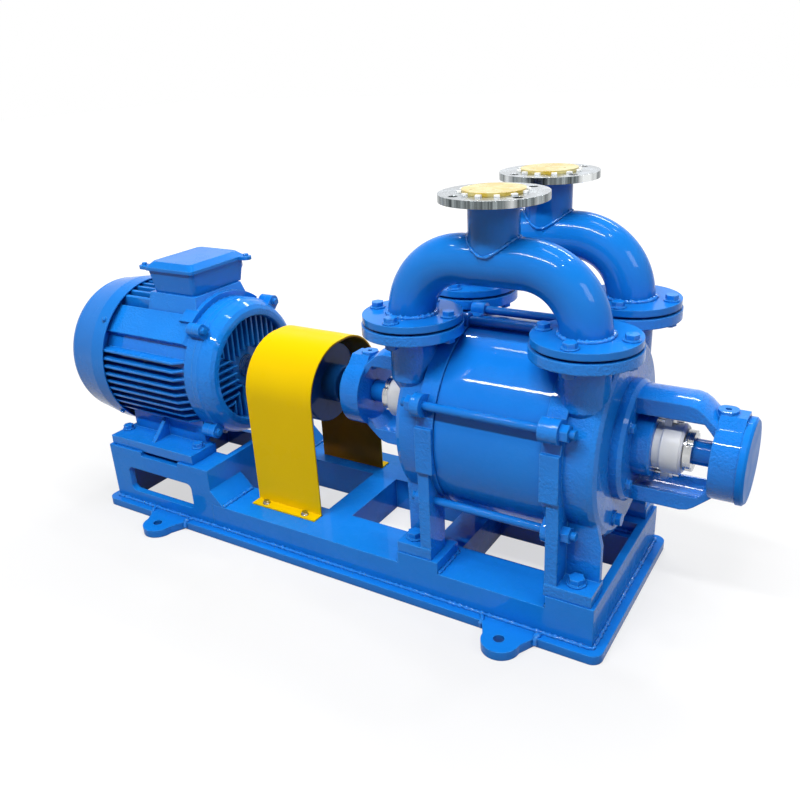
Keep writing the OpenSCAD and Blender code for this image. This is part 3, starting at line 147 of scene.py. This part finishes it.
def set_camera():
    az, el = CAMERA_AZIMUTH, CAMERA_ELEVATION
    back = Vector((math.sin(az) * math.cos(el), -math.cos(az) * math.cos(el), math.sin(el)))
    level = Vector((math.cos(az), math.sin(az), 0.0))
    up = back.cross(level)
    c, s = math.cos(CAMERA_ROLL), math.sin(CAMERA_ROLL)
    right = c * level + s * up
    top = -s * level + c * up
    data = bpy.data.cameras.new("camera")
    data.lens = CAMERA_LENS
    data.sensor_width = CAMERA_SENSOR
    data.clip_end = CAMERA_FAR
    camera = bpy.data.objects.new("camera", data)
    bpy.context.collection.objects.link(camera)
    camera.matrix_world = Matrix((
        (right.x, top.x, back.x, CAMERA_PLACE[0]),
        (right.y, top.y, back.y, CAMERA_PLACE[1]),
        (right.z, top.z, back.z, CAMERA_PLACE[2]),
        (0.0, 0.0, 0.0, 1.0)))
    bpy.context.scene.camera = camera


class Finish:
    """A material under construction: its node tree and its shader."""

    def __init__(self, name):
        self.material = bpy.data.materials.new(name)
        self.material.use_nodes = True
        self.tree = self.material.node_tree
        self.shader = self.tree.nodes["Principled BSDF"]
        self.place = self.add("ShaderNodeTexCoord").outputs["Object"]

    def add(self, kind, **settings):
        made = self.tree.nodes.new(kind)
        for key, value in settings.items():
            setattr(made, key, value)
        return made

    def join(self, source, target):
        self.tree.links.new(source, target)

    def feed(self, target, value):
        if hasattr(value, "links"):
            self.join(value, target)
        else:
            target.default_value = value

    def noise(self, scale, detail=2.0, roughness=0.5, stretch=None):
        made = self.add("ShaderNodeTexNoise")
        made.inputs["Scale"].default_value = scale
        made.inputs["Detail"].default_value = detail
        made.inputs["Roughness"].default_value = roughness
        where = self.place
        if stretch is not None:
            mapping = self.add("ShaderNodeMapping")
            mapping.inputs["Scale"].default_value = stretch
            self.join(self.place, mapping.inputs["Vector"])
            where = mapping.outputs["Vector"]
        self.join(where, made.inputs["Vector"])
        return made.outputs["Fac"]

    def spread(self, value, low, high, out_low=0.0, out_high=1.0):
        made = self.add("ShaderNodeMapRange")
        made.inputs["From Min"].default_value = low
        made.inputs["From Max"].default_value = high
        made.inputs["To Min"].default_value = out_low
        made.inputs["To Max"].default_value = out_high
        self.join(value, made.inputs["Value"])
        return made.outputs["Result"]

    def blend(self, factor, first, second):
        made = self.add("ShaderNodeMix", data_type="RGBA", blend_type="MIX")
        for index, value in ((0, factor), (6, first), (7, second)):
            self.feed(made.inputs[index], value)
        return made.outputs[2]

    def math(self, operation, first, second=0.0):
        made = self.add("ShaderNodeMath", operation=operation)
        self.feed(made.inputs[0], first)
        self.feed(made.inputs[1], second)
        return made.outputs[0]

    def axis(self, letter):
        made = self.add("ShaderNodeSeparateXYZ")
        self.join(self.place, made.inputs[0])
        return made.outputs[letter]

    def reach(self, first, second):
        """Length of two legs at right angles."""
        squares = [self.math("MULTIPLY", leg, leg) for leg in (first, second)]
        return self.math("SQRT", self.math("ADD", *squares))

    def bump(self, height, strength, distance, normal):
        made = self.add("ShaderNodeBump")
        made.inputs["Strength"].default_value = strength
        made.inputs["Distance"].default_value = distance
        self.join(height, made.inputs["Height"])
        self.join(normal, made.inputs["Normal"])
        return made.outputs["Normal"]

    def round_edges(self, radius):
        made = self.add("ShaderNodeBevel", samples=6)
        made.inputs["Radius"].default_value = radius
        return made.outputs["Normal"]

    def edge_mask(self, rounded, low, high):
        flat = self.add("ShaderNodeNewGeometry").outputs["True Normal"]
        dot = self.add("ShaderNodeVectorMath", operation="DOT_PRODUCT")
        self.join(rounded, dot.inputs[0])
        self.join(flat, dot.inputs[1])
        return self.spread(dot.outputs["Value"], 1.0 - low, 1.0 - high)

    # painted shade: a mask that is 1 deep in hollows, where shade falls, used to darken colours there
    def hollow(self, reach):
        made = self.add("ShaderNodeAmbientOcclusion", samples=6)
        made.inputs["Distance"].default_value = reach
        return self.spread(made.outputs["AO"], 0.25, 0.85, 1.0, 0.0)

    def facing_up(self):
        made = self.add("ShaderNodeSeparateXYZ")
        self.join(self.add("ShaderNodeNewGeometry").outputs["True Normal"], made.inputs[0])
        return self.math("ABSOLUTE", made.outputs["Z"])

    def use(self, socket, value):
        self.feed(self.shader.inputs[socket], value)


def enamel(name, colours, edge_r, wave, casting, gloss, coat=0.30):
    """Sprayed machine enamel with a soft orange peel, painted shade darkening it in hollows and painted
    highlight lightening its edges.
    """
    thin, full, hollow_shade_colour, edge = colours
    made = Finish(name)
    rounded = made.round_edges(edge_r)
    base = made.blend(made.spread(made.noise(4.0, 4.0, 0.6), 0.35, 0.65), full, thin)
    # painted shade: darker blue laid into hollows
    base = made.blend(made.math("MULTIPLY", made.hollow(HOLLOW_SHADE_REACH), 0.75), base, hollow_shade_colour)
    # painted highlight: lighter blue laid along edges
    base = made.blend(made.math("MULTIPLY", made.edge_mask(rounded, 0.02, 0.30), 0.50), base, edge)
    made.use("Base Color", base)
    made.use("Roughness", made.spread(made.noise(30.0, 3.0), 0.35, 0.65, gloss, gloss + 0.10))
    normal = made.bump(made.noise(WAVE_SCALE), wave, WAVE_H, rounded)
    if casting > 0.0:
        patches = made.spread(made.noise(LUMP_PATCH), 0.40, 0.60, 0.25, 1.0)
        lumps = made.math("MULTIPLY", made.noise(LUMP_SCALE, 2.0, 0.6), patches)
        normal = made.bump(lumps, casting, LUMP_H, normal)
    made.use("Normal", made.bump(made.noise(PEEL_SCALE), 0.10, PEEL_H, normal))
    made.use("Coat Weight", coat)
    made.use("Coat Roughness", 0.03)
    made.use("Specular IOR Level", 0.03)
    return made.material


def turned_steel(name, colour, roughness):
    """Machined steel with fine tool lines."""
    made = Finish(name)
    rounded = made.round_edges(0.0008)
    lines = made.noise(6.0, 3.0, 0.6, TOOL_LINES)
    dark = tuple(c * 0.70 for c in colour[:3]) + (1.0,)
    made.use("Base Color", made.blend(made.spread(made.noise(16.0, 4.0, 0.6), 0.3, 0.7), colour, dark))
    made.use("Metallic", 1.0)
    made.use("Roughness", made.spread(lines, 0.3, 0.7, roughness - 0.07, roughness + 0.09))
    made.use("Normal", made.bump(lines, 0.18, TOOL_LINE_H, rounded))
    return made.material


def flange_steel(name):
    """Stainless flange: turned rings on the face, with painted reflections, dark and pale streaks and bright
    glints, along the rim.
    """
    made = Finish(name)
    rounded = made.round_edges(0.0010)
    reflection_streaks = made.noise(5.0, 4.0, 0.7, RIM_REFLECTION_STREAKS)
    fine = made.noise(9.0, 3.0, 0.6, FACE_LINES)
    # painted reflection: dark and pale streaks, with bright glints, on the rim
    rim = made.blend(made.spread(reflection_streaks, 0.34, 0.66), RIM_REFLECTION_DARK, RIM_REFLECTION_PALE)
    glint_runs = made.spread(made.noise(5.0, 2.0, 0.5, RIM_GLINT_RUNS), 0.50, 0.66)
    rim = made.blend(glint_runs, rim, RIM_REFLECTION_GLINT)
    along = made.math("SUBTRACT", made.axis("X"), PORT_X)
    across = made.math("SUBTRACT", made.math("ABSOLUTE", made.axis("Y")), PORT_Y)
    rings = made.add("ShaderNodeTexNoise", noise_dimensions="1D")
    rings.inputs["Scale"].default_value = RING_SCALE
    made.join(made.reach(along, across), rings.inputs["W"])
    face = made.blend(made.spread(rings.outputs["Fac"], 0.35, 0.65), FACE_PALE, FACE_GREY)
    face = made.blend(made.spread(made.noise(26.0, 4.0, 0.6), 0.40, 0.75, 0.0, 0.35), face, FACE_STAIN)
    made.use("Base Color", made.blend(made.spread(made.facing_up(), 0.5, 0.8), rim, face))
    made.use("Metallic", 1.0)
    made.use("Roughness", made.spread(fine, 0.3, 0.7, 0.16, 0.32))
    made.use("Normal", made.bump(fine, 0.12, TOOL_LINE_H, rounded))
    return made.material


def moulded(name, colour, shade, roughness, grain):
    """Moulded plastic or rubber with a faint grain."""
    made = Finish(name)
    rounded = made.round_edges(0.001)
    made.use("Base Color", made.blend(made.spread(made.noise(24.0, 3.0), 0.3, 0.7), colour, shade))
    made.use("Roughness", made.spread(made.noise(60.0, 3.0), 0.3, 0.7, roughness - 0.06, roughness + 0.06))
    made.use("Normal", made.bump(made.noise(grain), 0.2, 0.0005, rounded))
    return made.material


def guard_enamel(name):
    """Yellow sheet-metal guard, with painted shade, a dark brown, inside the bend."""
    made = Finish(name)
    rounded = made.round_edges(0.0012)
    outside = made.blend(made.spread(made.noise(3.0, 3.0), 0.35, 0.65), GUARD_YELLOW, GUARD_THIN)
    # painted highlight: lighter yellow laid along edges
    edges = made.math("MULTIPLY", made.edge_mask(rounded, 0.02, 0.3), 0.5)
    outside = made.blend(edges, outside, GUARD_EDGE_HIGHLIGHT)
    from_middle = made.math("ABSOLUTE", made.axis("Y"))
    across = made.math("MAXIMUM", made.math("SUBTRACT", from_middle, GUARD_HALF - GUARD_ARC_R))
    above = made.math("MAXIMUM", made.math("SUBTRACT", made.axis("Z"), GUARD_ARC_Z))
    skin = GUARD_ARC_R - INNER_SHADE_FROM, GUARD_ARC_R - INNER_SHADE_TO
    # painted shade: a mask that is 1 inside the guard's bend
    inner_shade_mask = made.spread(made.reach(across, above), *skin, 1.0, 0.0)
    inner_shade = made.blend(made.noise(14.0, 4.0), GUARD_INNER_SHADE, GUARD_INNER_SHADE_DARK)
    made.use("Base Color", made.blend(inner_shade_mask, outside, inner_shade))
    made.use("Roughness", made.spread(made.noise(22.0, 3.0), 0.35, 0.65, 0.26, 0.36))
    wave = made.bump(made.noise(6.0), 0.05, WAVE_H, rounded)
    made.use("Normal", made.bump(made.noise(520.0), 0.08, 0.0005, wave))
    made.use("Coat Weight", 0.08)
    made.use("Coat Roughness", 0.10)
    made.use("Specular IOR Level", 0.03)
    return made.material


def cap_film(name):
    """Thin yellow press-in cap with a crumpled skin, paler on its creases, partly the film's own tone and
    partly painted highlight.
    """
    made = Finish(name)
    rounded = made.round_edges(0.0012)
    crease = made.noise(38.0, 4.0, 0.65)
    made.use("Base Color", made.blend(made.spread(crease, 0.42, 0.60), CAP_YELLOW, CAP_PALE_AND_HIGHLIGHT))
    made.use("Roughness", made.spread(made.noise(50.0, 3.0), 0.3, 0.7, 0.22, 0.40))
    made.use("Normal", made.bump(crease, 0.5, 0.0020, rounded))
    made.use("Coat Weight", 0.3)
    made.use("Coat Roughness", 0.15)
    return made.material


plate_paint = enamel("plate_enamel", BLUES, edge_r=0.0028, wave=0.20, casting=0.10, gloss=0.22)
cast_paint = enamel("casting_enamel", BLUES, edge_r=0.0032, wave=0.26, casting=0.55, gloss=0.20, coat=0.45)
pipe_paint = enamel("pipe_enamel", PIPE_BLUES, edge_r=0.0028, wave=0.09, casting=0.0, gloss=0.18)
cap_paint = enamel("bearing_cap_enamel", BLUES, edge_r=0.0028, wave=0.12, casting=0.08, gloss=0.30, coat=0.05)
weld_paint = enamel("weld_enamel", BLUES, edge_r=0.0010, wave=0.10, casting=0.70, gloss=0.16, coat=0.70)
by_slot = {
    "blue_paint": cast_paint,
    "dark_paint": enamel("coupling_enamel", DARKS, edge_r=0.0016, wave=0.05, casting=0.05, gloss=0.24),
    "guard_paint": guard_enamel("guard_enamel"),
    "steel": turned_steel("turned_steel", STEEL, roughness=0.24),
    "iron": turned_steel("machined_iron", IRON, roughness=0.42),
    "copper": moulded("winding_enamel", WINDING, WINDING_DARK, roughness=0.40, grain=300.0),
    "rubber": moulded("black_rubber", RUBBER, RUBBER_WORN, roughness=0.60, grain=500.0),
    "black_plastic": moulded("black_plastic", BLACK, BLACK_WORN, roughness=0.48, grain=500.0),
    "white_plastic": moulded("gland_white", WHITE, WHITE_DULL, roughness=0.34, grain=400.0),
    "yellow_plastic": cap_film("cap_film"),
}
by_node = {
    "base_frame": plate_paint, "foot_strip": plate_paint, "motor_pedestal": plate_paint,
    "pump_casing": plate_paint, "suction_manifold": pipe_paint, "discharge_manifold": pipe_paint,
    "fan_cowl": pipe_paint, "terminal_box_lid": pipe_paint, "terminal_box": pipe_paint,
    "tie_rods": pipe_paint, "pump_shaft": pipe_paint, "free_bearing_cap": cap_paint,
    "drive_bearing_cap": cap_paint,
    "suction_flange": flange_steel("flange_steel"),
}
by_node["discharge_flange"] = by_node["suction_flange"]

for entry in frame["record"]["subparts"]:
    for slot in cad[entry["node"]].material_slots:
        slot.material = by_node.get(entry["node"], by_slot[entry["material_slot"]])


def keep_piece(name, shape, finish, body):
    """Turns a finished bmesh into a piece of the set."""
    bmesh.ops.recalc_face_normals(shape, faces=shape.faces)
    mesh = bpy.data.meshes.new(name)
    shape.to_mesh(mesh)
    shape.free()
    for face in mesh.polygons:
        face.use_smooth = True
    mesh.materials.append(finish)
    piece = bpy.data.objects.new(name, mesh)
    bpy.context.collection.objects.link(piece)
    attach(piece, body)


def stepped(corners, step):
    """Points along a run of straight legs, one every step."""
    points = [Vector(corners[0])]
    for first, second in zip(corners, corners[1:]):
        first, second = Vector(first), Vector(second)
        count = max(1, round((second - first).length / step))
        points += [first.lerp(second, (i + 1) / count) for i in range(count)]
    return points


def edges_at(verts):
    """Edges that meet these points, each once."""
    return list(dict.fromkeys(edge for vert in verts for edge in vert.link_edges))


def lay_weld(shape, points, radius, grain):
    """Lays one rippled weld bead along the points, tapered at both ends."""
    turns = []
    for i, point in enumerate(points):
        ahead = points[min(i + 1, len(points) - 1)]
        behind = points[max(i - 1, 0)]
        size = radius * (1.0 + RIPPLE * math.sin(RIPPLE_TURN * i) + grain.uniform(-BEAD_GRAIN, BEAD_GRAIN))
        if i in (0, len(points) - 1):
            size = radius * BEAD_END
        tilt = (ahead - behind).to_track_quat("Z", "Y").to_matrix().to_4x4()
        turns.append(Matrix.Translation(point) @ tilt @ Matrix.Diagonal((size, size, size, 1.0)))
    ring = bmesh.ops.create_circle(shape, cap_ends=True, segments=8, radius=1.0, matrix=turns[0])["verts"]
    edges = edges_at(ring)
    for before, after in zip(turns, turns[1:]):
        grown = bmesh.ops.extrude_edge_only(shape, edges=edges)["geom"]
        ring = [item for item in grown if isinstance(item, bmesh.types.BMVert)]
        edges = [item for item in grown if isinstance(item, bmesh.types.BMEdge)]
        bmesh.ops.transform(shape, matrix=after @ before.inverted(), verts=ring)
    bmesh.ops.holes_fill(shape, edges=edges, sides=0)


def round_path(centre, radius, count):
    """Points once round a level circle, the first again at the end."""
    turns = [2.0 * math.pi * i / count for i in range(count + 1)]
    return [Vector(centre) + Vector((math.cos(turn) * radius, math.sin(turn) * radius, 0.0))
            for turn in turns]


def make_base_welds():
    """Fillet welds of the foot strip, the anchor tongues, the pump pads and the pedestal."""
    grain = random.Random(5)
    shape = bmesh.new()
    x0, x1, y = BASE_X0 - WELD_OUT, BASE_X1 + WELD_OUT, BASE_HALF + WELD_OUT
    z = STRIP_H + WELD_OUT
    round_base = [(x0, -y, z), (x1, -y, z), (x1, y, z), (x0, y, z), (x0, -y, z)]
    lay_weld(shape, stepped(round_base, STRIP_STEP), STRIP_WELD_R, grain)
    edge = BASE_HALF + STRIP_OUT
    for middle in TONGUE_X:
        for side in (-1.0, 1.0):
            for along in TONGUE_SIDES:
                x = middle + along
                over_strip = [(x, side * (edge + 0.001), 0.002),
                              (x, side * (edge + 0.0005), STRIP_H - 0.003),
                              (x, side * (edge - 0.004), STRIP_H + 0.001),
                              (x + along * 0.12, side * (BASE_HALF + 0.002), STRIP_H + 0.001)]
                lay_weld(shape, stepped(over_strip, TONGUE_STEP), TONGUE_WELD_R, grain)
    first, last, free = PAD_EDGES
    pad_z = RAIL_Z + WELD_OUT
    for side in (-1.0, 1.0):
        inner, outer = side * (PAD_IN - WELD_OUT), side * (BASE_HALF - 0.002)
        drive_pad = [(first - WELD_OUT, outer, pad_z), (first - WELD_OUT, inner, pad_z),
                     (last + WELD_OUT, inner, pad_z), (last + WELD_OUT, outer, pad_z)]
        lay_weld(shape, stepped(drive_pad, PLATE_STEP), PAD_WELD_R, grain)
        free_pad = [(free - WELD_OUT, outer, pad_z), (free - WELD_OUT, inner, pad_z),
                    (BASE_X1 - END_WALL_IN, inner, pad_z)]
        lay_weld(shape, stepped(free_pad, PLATE_STEP), PAD_WELD_R, grain)
        ridge_x, ridge_z = RAIL_X0 + RIDGE_FOOT, RAIL_Z + 0.001
        ridge = [(ridge_x, side * (BASE_HALF - 0.001), ridge_z), (ridge_x, side * RIDGE_IN, ridge_z)]
        lay_weld(shape, stepped(ridge, PLATE_STEP), RIDGE_WELD_R, grain)
    keep_piece("base_welds", shape, weld_paint, "pump_set")


def make_pipe_welds():
    """Ring welds of the pipe flanges and the saddle welds of the risers."""
    grain = random.Random(9)
    shape = bmesh.new()
    push = 1.0 + SADDLE_OUT / PIPE_R
    for side in (-1.0, 1.0):
        for along in (-PORT_HALF, PORT_HALF):
            leg = (PORT_X + along, side * PORT_Y, LEG_FACE_Z + 0.0010)
            lay_weld(shape, round_path(leg, PIPE_R + 0.0010, RING_STEPS), LEG_WELD_R, grain)
        top = (PORT_X, side * PORT_Y, TOP_FLANGE_Z - 0.0014)
        lay_weld(shape, round_path(top, PIPE_R + 0.0012, RING_STEPS), TOP_WELD_R, grain)
        saddle = []
        for point in round_path((0.0, 0.0, 0.0), PIPE_R, SADDLE_STEPS):
            lift = math.sqrt(PIPE_R ** 2 - (SADDLE_SOFTEN * point.y) ** 2)
            saddle.append(Vector((PORT_X + point.x * push, side * PORT_Y + point.y * push,
                                  RUN_Z + lift + 0.0002)))
        lay_weld(shape, saddle, SADDLE_WELD_R, grain)
    keep_piece("pipe_welds", shape, weld_paint, "pump_set")


def add_screw(shape, place, axis, head_r, head_h):
    """Hexagon screw head on a round washer face."""
    turn = Matrix.Translation(place) @ Vector(axis).to_track_quat("Z", "Y").to_matrix().to_4x4()
    washer = bmesh.ops.create_cone(shape, cap_ends=True, segments=28, radius1=head_r * WASHER_FOOT,
                                   radius2=head_r * WASHER_TOP, depth=head_h * WASHER_H,
                                   matrix=turn @ Matrix.Translation((0, 0, head_h * WASHER_Z)))
    head = bmesh.ops.create_cone(shape, cap_ends=True, segments=6, radius1=head_r,
                                 radius2=head_r, depth=head_h,
                                 matrix=turn @ Matrix.Translation((0, 0, head_h * HEAD_Z)))
    for made, rim in ((washer, WASHER_RIM), (head, HEAD_RIM)):
        bmesh.ops.bevel(shape, geom=edges_at(made["verts"]), offset=rim, offset_type="OFFSET",
                        affect="EDGES", segments=2, profile=0.5, material=-1)


def make_cover_screws():
    """Screws of the fan cowl rim and of the terminal box lid."""
    shape = bmesh.new()
    cowl_middle = Vector((COWL_RIM_X - COWL_SCREW_IN, 0.0, SHAFT_Z))
    for angle in COWL_SCREW_ANGLES:
        turn = math.radians(angle)
        axis = Vector((0.0, -math.cos(turn), math.sin(turn)))
        seat = cowl_middle + axis * (COWL_R - COWL_SCREW_SUNK)
        add_screw(shape, seat, axis, COWL_SCREW_R, COWL_SCREW_H)
    for side in (-1.0, 1.0):
        ear = Vector((LID_X + side * LID_EAR_OUT[0], LID_Y + side * LID_EAR_OUT[1],
                      LID_EAR_Z - LID_SCREW_SUNK))
        add_screw(shape, ear, (0.0, 0.0, 1.0), LID_SCREW_R, LID_SCREW_H)
    keep_piece("cover_screws", shape, pipe_paint, "pump_set")


def seen_directly(tree):
    """1 for what the camera, a gloss or a clear body sees of the backdrop, else 0."""
    path = tree.nodes.new("ShaderNodeLightPath")
    total = path.outputs["Is Camera Ray"]
    for name in ("Is Glossy Ray", "Is Transmission Ray"):
        most = tree.nodes.new("ShaderNodeMath")
        most.operation = "MAXIMUM"
        tree.links.new(total, most.inputs[0])
        tree.links.new(path.outputs[name], most.inputs[1])
        total = most.outputs[0]
    return total


def set_backdrop():
    """White surroundings, dimmer overhead, that give little light of their own."""
    world = bpy.data.worlds.new("studio")
    bpy.context.scene.world = world
    world.use_nodes = True
    tree = world.node_tree
    shade = tree.nodes["Background"]
    shade.inputs["Color"].default_value = BACKDROP_TINT
    shade.inputs["Strength"].default_value = BACKDROP_FILL
    white = tree.nodes.new("ShaderNodeBackground")
    white.inputs["Color"].default_value = BACKDROP_WHITE
    heading = tree.nodes.new("ShaderNodeTexCoord")
    height = tree.nodes.new("ShaderNodeSeparateXYZ")
    dimming = tree.nodes.new("ShaderNodeMapRange")
    for socket, value in (("From Min", DIM_FROM), ("From Max", DIM_TO),
                          ("To Min", 1.0), ("To Max", DIM_OVERHEAD)):
        dimming.inputs[socket].default_value = value
    tree.links.new(heading.outputs["Generated"], height.inputs[0])
    tree.links.new(height.outputs["Z"], dimming.inputs["Value"])
    tree.links.new(dimming.outputs["Result"], white.inputs["Strength"])
    mix = tree.nodes.new("ShaderNodeMixShader")
    tree.links.new(seen_directly(tree), mix.inputs[0])
    tree.links.new(shade.outputs[0], mix.inputs[1])
    tree.links.new(white.outputs[0], mix.inputs[2])
    tree.links.new(mix.outputs[0], tree.nodes["World Output"].inputs["Surface"])


def lay_floor():
    """White floor that keeps the set's shadow and brightens away from it."""
    shape = bmesh.new()
    bmesh.ops.create_grid(shape, x_segments=2, y_segments=2, size=FLOOR_HALF)
    bmesh.ops.translate(shape, verts=shape.verts, vec=(0.0, 0.0, -FLOOR_DROP))
    floor_mesh = bpy.data.meshes.new("floor")
    shape.to_mesh(floor_mesh)
    shape.free()
    floor = bpy.data.objects.new("floor", floor_mesh)
    bpy.context.collection.objects.link(floor)
    sheet = Finish("floor_white")
    sheet.use("Base Color", FLOOR_TONE)
    sheet.use("Roughness", 0.9)
    sheet.use("Specular IOR Level", 0.1)
    away = sheet.add("ShaderNodeVectorMath", operation="LENGTH")
    sheet.join(sheet.place, away.inputs[0])
    glow = sheet.add("ShaderNodeEmission")
    rise = sheet.spread(away.outputs["Value"], GLOW_FROM, GLOW_TO, GLOW_NEAR, GLOW_FAR)
    sheet.join(rise, glow.inputs["Strength"])
    both = sheet.add("ShaderNodeAddShader")
    mix = sheet.add("ShaderNodeMixShader")
    sheet.join(sheet.shader.outputs[0], both.inputs[0])
    sheet.join(glow.outputs[0], both.inputs[1])
    sheet.join(seen_directly(sheet.tree), mix.inputs[0])
    sheet.join(sheet.shader.outputs[0], mix.inputs[1])
    sheet.join(both.outputs[0], mix.inputs[2])
    sheet.join(mix.outputs[0], sheet.tree.nodes["Material Output"].inputs["Surface"])
    floor_mesh.materials.append(sheet.material)


def hang_lamps():
    for name, place, aim, size, power in LAMPS:
        data = bpy.data.lights.new(name, "AREA")
        data.shape = "RECTANGLE"
        data.size, data.size_y = size
        data.energy = power
        lamp = bpy.data.objects.new(name, data)
        bpy.context.collection.objects.link(lamp)
        lamp.location = place
        lamp.rotation_euler = (Vector(aim) - Vector(place)).to_track_quat("-Z", "Y").to_euler()


make_base_welds()
make_pipe_welds()
make_cover_screws()
set_camera()
set_backdrop()
lay_floor()
hang_lamps()
bpy.context.scene.view_settings.view_transform = "Standard"
